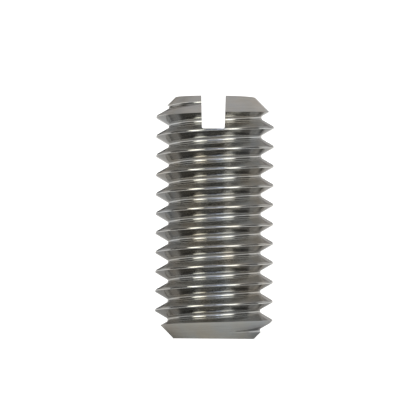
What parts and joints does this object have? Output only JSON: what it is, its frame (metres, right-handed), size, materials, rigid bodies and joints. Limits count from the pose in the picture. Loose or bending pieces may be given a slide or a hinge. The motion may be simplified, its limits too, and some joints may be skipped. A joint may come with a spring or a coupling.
{
  "type": "grub set screw",
  "caption": "Headless grub screw with a right-hand metric thread along its whole length, a sawn driver slot in its top and a flat chamfered point.",
  "frame": {"origin": "centre of the flat point's face, on the screw's axis", "axes": "+Z along the screw's axis from the flat point to the slotted end; the slot runs along Y"},
  "size_m": [0.0048, 0.0048, 0.01],
  "materials": {
    "steel": "bright stainless steel, rolled thread and sawn slot"
  },
  "bodies": {
    "root": {"set_screw": "steel"}
  },
  "joints": []
}
